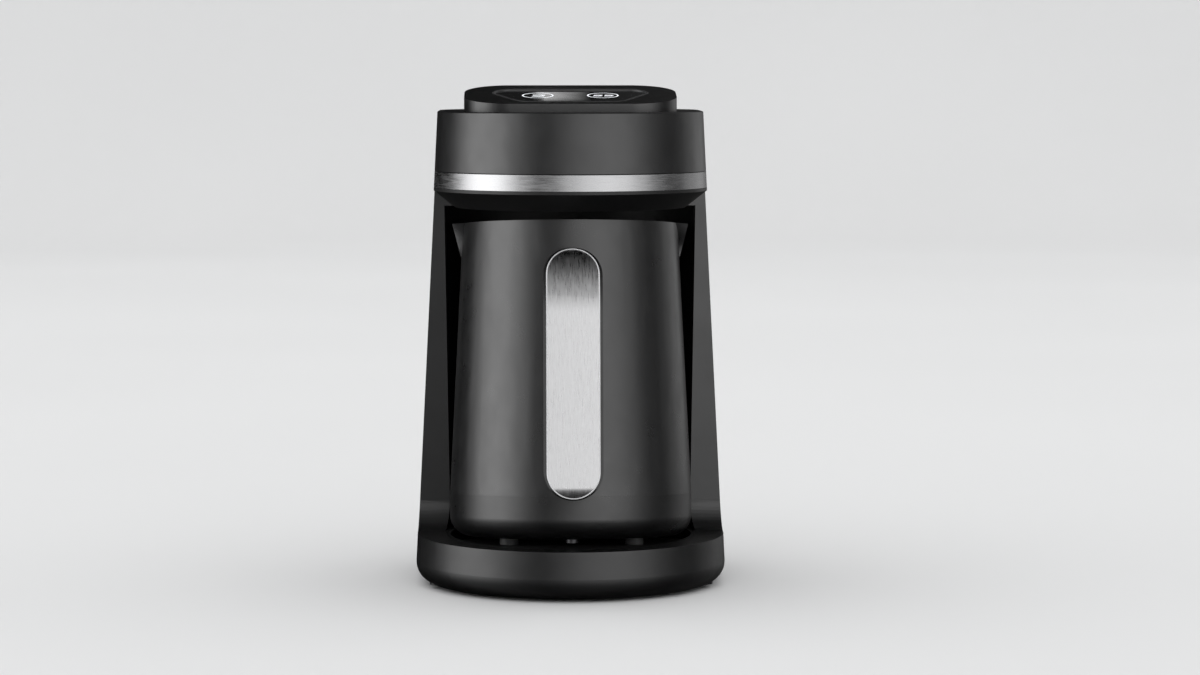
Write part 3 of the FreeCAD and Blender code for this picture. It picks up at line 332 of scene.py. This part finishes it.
def dressed(node, edge, finish=None):
    """A piece with the CAD node's shape, its flats made whole again and its edges rounded."""
    mesh = frame["nodes"][node].data.copy()
    mesh.name = node + "_skin"
    work = bmesh.new()
    work.from_mesh(mesh)
    bmesh.ops.remove_doubles(work, verts=work.verts, dist=WELD)
    bmesh.ops.dissolve_limit(work, angle_limit=FLAT_BEND, verts=work.verts, edges=work.edges)
    work.to_mesh(mesh)
    work.free()
    smooth(mesh)
    piece = placed(node + "_skin", mesh)
    soften(piece, edge)
    return settle(piece, node, SLOT_OF[node], finish)


def sweep_wings(housing):
    """Draw the outer edge of each wing's front face back a little, so that the faces look outwards."""
    pan = [vert.co for vert in frame["nodes"]["base_pan"].data.vertices]
    pan_side, pan_top = max(spot.x for spot in pan), max(spot.z for spot in pan)
    for vert in housing.data.vertices:
        side = pan_side - SIDE_DRAFT * (vert.co.z - pan_top)
        if abs(vert.co.y - WING_FRONT) < WING_REACH and abs(vert.co.x) > side - WING_REACH:
            vert.co.y += WING_SWEEP * min(1, max(0, (vert.co.z - COVE_TOP) / SWEEP_RISE))


def front_rim(piece, facing):
    """The closed line round the face of a piece that looks one way, followed over its soft bends."""
    work = bmesh.new()
    work.from_mesh(piece.data)
    work.normal_update()
    ahead = (face for face in work.faces if face.normal.dot(facing) > 0.9)
    seed = max(ahead, key=lambda face: face.calc_area())
    region, queue = {seed}, [seed]
    while queue:
        for edge in queue.pop().edges:
            if edge.calc_face_angle(math.pi) < SOFT_BEND:
                for face in edge.link_faces:
                    if face not in region:
                        region.add(face)
                        queue.append(face)
    rim = [edge for face in region for edge in face.edges
           if sum(other in region for other in edge.link_faces) == 1]
    loops = []
    while rim:
        first = rim.pop()
        line = list(first.verts)
        while line[-1] != line[0]:
            edge = next((edge for edge in rim if line[-1] in edge.verts), None)
            if edge is None:
                break
            rim.remove(edge)
            line.append(edge.other_vert(line[-1]))
        loops.append([vert.co.copy() for vert in line[:-1]])
    work.free()
    return max(loops, key=len)


def bead(name, lines, radius, node, finish=None):
    """A thin round bead along lines of points; each line says whether it closes on itself."""
    curve = bpy.data.curves.new(name, "CURVE")
    curve.dimensions = "3D"
    curve.bevel_depth = radius
    curve.bevel_resolution = 3
    for points, closed in lines:
        spline = curve.splines.new("POLY")
        spline.points.add(len(points) - 1)
        for point, spot in zip(spline.points, points):
            point.co = (*spot, 1)
        spline.use_cyclic_u = closed
    return settle(placed(name, curve), node, SLOT_OF[node], finish, stands_for=False)


def panel_directions():
    """The touch panel's own directions: to the right, uphill along its face, and out of it."""
    flats = (face for face in frame["nodes"]["touch_panel"].data.polygons if face.normal.z > 0.9)
    right, out = Vector((1, 0, 0)), max(flats, key=lambda face: face.area).normal.copy()
    return right, out.cross(right), out


def key_middle(side):
    """The middle of the ring on one side of the panel, on the panel's face."""
    right, uphill, out = panel_directions()
    rings = [vert.co for vert in frame["nodes"]["key_rings"].data.vertices if vert.co.x * side > 0]

    def middle(way):
        return way * (min(spot.dot(way) for spot in rings) + max(spot.dot(way) for spot in rings)) / 2

    return middle(right) + middle(uphill) + out * max(spot.dot(out) for spot in rings)


def cup_sign(side, cups):
    """Lines on the panel that draw one small coffee cup in a side's ring, or two side by side."""
    right, uphill, out = panel_directions()
    size = ONE_CUP if cups == 1 else TWO_CUPS
    lines = []
    for number in range(cups):
        middle = key_middle(side) + right * (number - (cups - 1) / 2) * CUP_SPACING

        def at(x, y):
            return middle + right * x * size + uphill * y * size

        bowl = [at(-0.75, 0.5)] + [at(0.75 * math.sin(turn), 0.1 - 0.75 * math.cos(turn))
                                   for turn in (math.radians(angle) for angle in range(-80, 81, 20))]
        bowl.append(at(0.75, 0.5))
        lines.append((bowl, True))
        lines.append(([at(0.75, 0.3), at(1.15, 0.3), at(1.2, 0.0), at(0.7, -0.2)], False))
        lines.append(([at(-1.0, -1.0), at(1.0, -1.0)], False))
    return lines


class COFFEE_OT_case(bpy.types.Operator):
    """Dress the machine's black shells: base pan, housing, head and rear cover"""
    bl_idname = "coffee.case"
    bl_label = "Case"

    def execute(self, context):
        for node in ("base_pan", "head_shell", "rear_cover"):
            dressed(node, edges().case)
        sweep_wings(dressed("housing", edges().case))
        return {"FINISHED"}


class COFFEE_OT_bay(bpy.types.Operator):
    """Dress the bay: its liner, the seat, the head's underside and the plug"""
    bl_idname = "coffee.bay"
    bl_label = "Bay"

    def execute(self, context):
        for node in ("bay_liner", "seat_plate", "head_underside", "power_plug"):
            dressed(node, edges().case)
        return {"FINISHED"}


class COFFEE_OT_band(bpy.types.Operator):
    """Dress the brushed band round the head"""
    bl_idname = "coffee.band"
    bl_label = "Band"

    def execute(self, context):
        dressed("trim_band", edges().fine)
        return {"FINISHED"}


class COFFEE_OT_top(bpy.types.Operator):
    """Dress the sloping platform and the glossy touch panel, with the lip and the signs on it"""
    bl_idname = "coffee.top"
    bl_label = "Top"

    def execute(self, context):
        dressed("control_pod", edges().case)
        panel = dressed("touch_panel", edges().fine)
        rim = front_rim(panel, panel_directions()[-1])
        # The lip is a real bead round the panel, coloured lighter than the case as a painted highlight
        # along the panel's edge
        bead("panel_lip", [(rim, True)], PANEL_LIP, "control_pod", "lip_painted_highlight")
        for side, cups in ((-1, 1), (1, 2)):
            bead("key_sign_%d" % cups, cup_sign(side, cups), SIGN_LINE, "key_rings")
        return {"FINISHED"}


class COFFEE_OT_pot(bpy.types.Operator):
    """Dress the pot: its outer shell, base, steel vessel and feet"""
    bl_idname = "coffee.pot"
    bl_label = "Pot"

    def execute(self, context):
        for node in ("pot_shell", "pot_base", "pot_feet"):
            dressed(node, edges().pot)
        dressed("pot_vessel", edges().vessel)
        return {"FINISHED"}


class COFFEE_OT_handle(bpy.types.Operator):
    """Dress the looped handle and the brushed strip in its front"""
    bl_idname = "coffee.handle"
    bl_label = "Handle"

    def execute(self, context):
        dressed("handle", edges().grip)
        strip = dressed("handle_inlay", edges().fine, "strip_steel")
        rim = front_rim(strip, Vector((0, -1, 0)))
        # The bead round the strip is pale plastic, not steel: a painted highlight along the strip's edge
        bead("inlay_edge_highlight", [(rim, True)], STRIP_LIP, "handle_inlay", "edge_painted_highlight")
        return {"FINISHED"}


class COFFEE_OT_inside(bpy.types.Operator):
    """Give every node that shows as it is made its own finish"""
    bl_idname = "coffee.inside"
    bl_label = "Inside"

    def execute(self, context):
        for node, thing in frame["nodes"].items():
            if not thing.material_slots:
                thing.data.materials.append(None)
            for holder in thing.material_slots:
                holder.material = MATERIALS[SLOT_OF[node]]
        return {"FINISHED"}


# Stage

def look_from(spot, tilt, turn):
    """The camera's pose: upright, looking along +Y, then tilted down and turned to the right."""
    return (Matrix.Translation(spot) @ Matrix.Rotation(-turn, 4, "Z")
            @ Matrix.Rotation(math.pi / 2 - tilt, 4, "X"))


def azimuth_and_rise(tree):
    """The direction of a point of the room from its middle: its azimuth from the front and its rise."""
    place = tree.nodes.new("ShaderNodeTexCoord")
    parts = tree.nodes.new("ShaderNodeSeparateXYZ")
    tree.links.new(place.outputs["Object"], parts.inputs["Vector"])

    def maths(operation, first, second=None):
        node = tree.nodes.new("ShaderNodeMath")
        node.operation = operation
        for socket, source in zip(node.inputs, (first, second)):
            if isinstance(source, (int, float)):
                socket.default_value = source
            elif source is not None:
                tree.links.new(source, socket)
        return node.outputs["Value"]

    across, depth, up = (parts.outputs[axis] for axis in "XYZ")
    azimuth = maths("ARCTAN2", across, maths("MULTIPLY", depth, -1))
    squares = maths("ADD", maths("MULTIPLY", across, across), maths("MULTIPLY", depth, depth))
    return azimuth, maths("ARCTAN2", up, maths("SQRT", squares))


def light_ramp(tree, angle, reach, stops):
    """Brightness by angle, from stops of degrees and brightness; the angles run from -reach to reach."""
    turn = math.radians(reach)
    ramp = tree.nodes.new("ShaderNodeValToRGB")
    ramp.color_ramp.interpolation = "EASE"
    for spare in range(len(stops) - 2):
        ramp.color_ramp.elements.new(0.5)
    for element, (degrees, light) in zip(ramp.color_ramp.elements, stops):
        element.position = (degrees + reach) / (2 * reach)
        element.color = (light, light, light, 1)
    tree.links.new(spread(tree, angle, 0, 1, -turn, turn), ramp.inputs["Fac"])
    return ramp.outputs["Color"]


def glowing(name, power):
    """A black material that glows; returns it with its tree and shader."""
    material, tree, shader = new_material(name, (0, 0, 0), 1.0, Specular_IOR_Level=0.0,
                                          Emission_Strength=power)
    material.cycles.emission_sampling = "NONE"
    return material, tree, shader


def only_reflected(name, mesh, material):
    """Put a mesh on the stage that nothing but a reflection sees."""
    mesh.materials.append(material)
    thing = placed(name, mesh)
    for kind in ("camera", "diffuse", "transmission", "volume_scatter", "shadow"):
        setattr(thing, "visible_" + kind, False)
    return thing


def reflection_room(power):
    """The soft lights as the gloss sees them: a shell round the object, bright where a light stands
    and dark between."""
    mesh = bpy.data.meshes.new("reflection_room")
    work = bmesh.new()
    bmesh.ops.create_uvsphere(work, u_segments=96, v_segments=48, radius=ROOM_RADIUS)
    work.to_mesh(mesh)
    work.free()
    smooth(mesh, 60)
    material, tree, shader = glowing("reflection_room", power)
    azimuth, rise = azimuth_and_rise(tree)
    mix = tree.nodes.new("ShaderNodeMix")
    mix.data_type = "RGBA"
    mix.blend_type = "MULTIPLY"
    mix.inputs["Factor"].default_value = 1
    sockets = [socket for socket in mix.inputs if socket.type == "RGBA"]
    tree.links.new(light_ramp(tree, azimuth, 180, ROUND_LIGHT), sockets[0])
    tree.links.new(light_ramp(tree, rise, 90, RISING_LIGHT), sockets[1])
    product = next(socket for socket in mix.outputs if socket.type == "RGBA")
    tree.links.new(product, shader.inputs["Emission Color"])
    only_reflected("reflection_room", mesh, material).location = (0, 0, ROOM_MIDDLE)


def sweep(material):
    """The pale floor, which rises all round into a low wall."""
    section = [(FLOOR_REACH * step / 6, 0) for step in range(7)]
    bend = FLOOR_BEND
    section += [(FLOOR_REACH + bend * math.sin(turn), bend - bend * math.cos(turn))
                for turn in (math.pi / 2 * step / 12 for step in range(1, 13))]
    section.append((FLOOR_REACH + bend, bend + WALL_HEIGHT))
    mesh = bpy.data.meshes.new("floor")
    work = bmesh.new()
    points = [work.verts.new((reach, 0, height)) for reach, height in section]
    lines = [work.edges.new(pair) for pair in zip(points, points[1:])]
    bmesh.ops.spin(work, geom=points + lines, cent=(0, 0, 0), axis=(0, 0, 1), dvec=(0, 0, 0),
                   angle=2 * math.pi, steps=96)
    bmesh.ops.remove_doubles(work, verts=work.verts, dist=1e-5)
    bmesh.ops.recalc_face_normals(work, faces=work.faces)
    work.to_mesh(mesh)
    work.free()
    smooth(mesh, 60)
    mesh.materials.append(material)
    floor = placed("floor", mesh)
    floor.visible_glossy = False


def glare_card(power, eye):
    """A slanted card of light, fading to the right, where the glossy panel mirrors it to an eye."""
    right, uphill, out = panel_directions()
    middle = (key_middle(-1) + key_middle(1)) / 2
    corners = []
    for aside, ahead in GLARE_ON_PANEL:
        spot = middle + right * aside + uphill * ahead
        corners.append(spot + (spot - eye).normalized().reflect(out) * GLARE_DISTANCE)
    mesh = bpy.data.meshes.new("glare_card")
    mesh.from_pydata(corners, [], [(0, 1, 2, 3)])
    material, tree, shader = glowing("glare_card", power)
    place = tree.nodes.new("ShaderNodeTexCoord")
    parts = tree.nodes.new("ShaderNodeSeparateXYZ")
    tree.links.new(place.outputs["Object"], parts.inputs["Vector"])
    fade = spread(tree, parts.outputs["X"], 1, 0, corners[0].x, corners[2].x)
    tree.links.new(fade, shader.inputs["Emission Color"])
    only_reflected("glare_card", mesh, material)


class COFFEE_OT_stage(bpy.types.Operator):
    """Set the camera, the pale floor, the soft surroundings and what the gloss reflects"""
    bl_idname = "coffee.stage"
    bl_label = "Stage"

    def execute(self, context):
        studio = context.scene.coffee_studio
        lens = bpy.data.cameras.new("camera")
        lens.lens = studio.lens
        lens.sensor_width = 36
        lens.clip_end = 100
        camera = placed("camera", lens)
        eye = Vector((studio.distance * math.sin(studio.side), -studio.distance * math.cos(studio.side),
                      studio.height))
        camera.matrix_world = look_from(eye, studio.tilt, studio.turn - studio.side)
        context.scene.camera = camera

        material, tree, shader = new_material("floor", studio.floor, 0.9, Specular_IOR_Level=0.0)
        tint(tree, shader, noise(tree, 1.5, 1), studio.floor, 0.985, 1.015)
        sweep(material)
        reflection_room(studio.gloss)
        glare_card(studio.glare, eye)

        world = bpy.data.worlds.new("studio")
        world.use_nodes = True
        sky = next(node for node in world.node_tree.nodes if node.type == "BACKGROUND")
        sky.inputs["Color"].default_value = (*studio.air, 1)
        sky.inputs["Strength"].default_value = studio.daylight
        context.scene.world = world
        context.scene.view_settings.view_transform = "Standard"
        return {"FINISHED"}


class COFFEE_PT_panel(bpy.types.Panel):
    """The steps that dress the coffee pot maker"""
    bl_idname = "COFFEE_PT_panel"
    bl_label = "Coffee Pot Maker"
    bl_space_type = "VIEW_3D"
    bl_region_type = "UI"
    bl_category = "Coffee"

    def draw(self, context):
        scene = context.scene
        for settings in (scene.coffee_finishes, scene.coffee_edges, scene.coffee_studio):
            box = self.layout.box()
            for name in settings.bl_rna.properties.keys():
                if name not in {"rna_type", "name"}:
                    box.prop(settings, name)
        for step in STEPS:
            self.layout.operator(step.bl_idname)


STEPS = (COFFEE_OT_stage, COFFEE_OT_inside, COFFEE_OT_case, COFFEE_OT_bay, COFFEE_OT_band,
         COFFEE_OT_top, COFFEE_OT_pot, COFFEE_OT_handle)
CLASSES = (FinishSettings, EdgeSettings, StudioSettings) + STEPS + (COFFEE_PT_panel,)


def register():
    for part in CLASSES:
        bpy.utils.register_class(part)
    bpy.types.Scene.coffee_finishes = PointerProperty(type=FinishSettings)
    bpy.types.Scene.coffee_edges = PointerProperty(type=EdgeSettings)
    bpy.types.Scene.coffee_studio = PointerProperty(type=StudioSettings)


def unregister():
    del bpy.types.Scene.coffee_studio
    del bpy.types.Scene.coffee_edges
    del bpy.types.Scene.coffee_finishes
    for part in reversed(CLASSES):
        bpy.utils.unregister_class(part)


def main():
    register()
    make_materials()
    for step in STEPS:
        group, name = step.bl_idname.split(".")
        getattr(getattr(bpy.ops, group), name)()


if __name__ == "__main__":
    main()
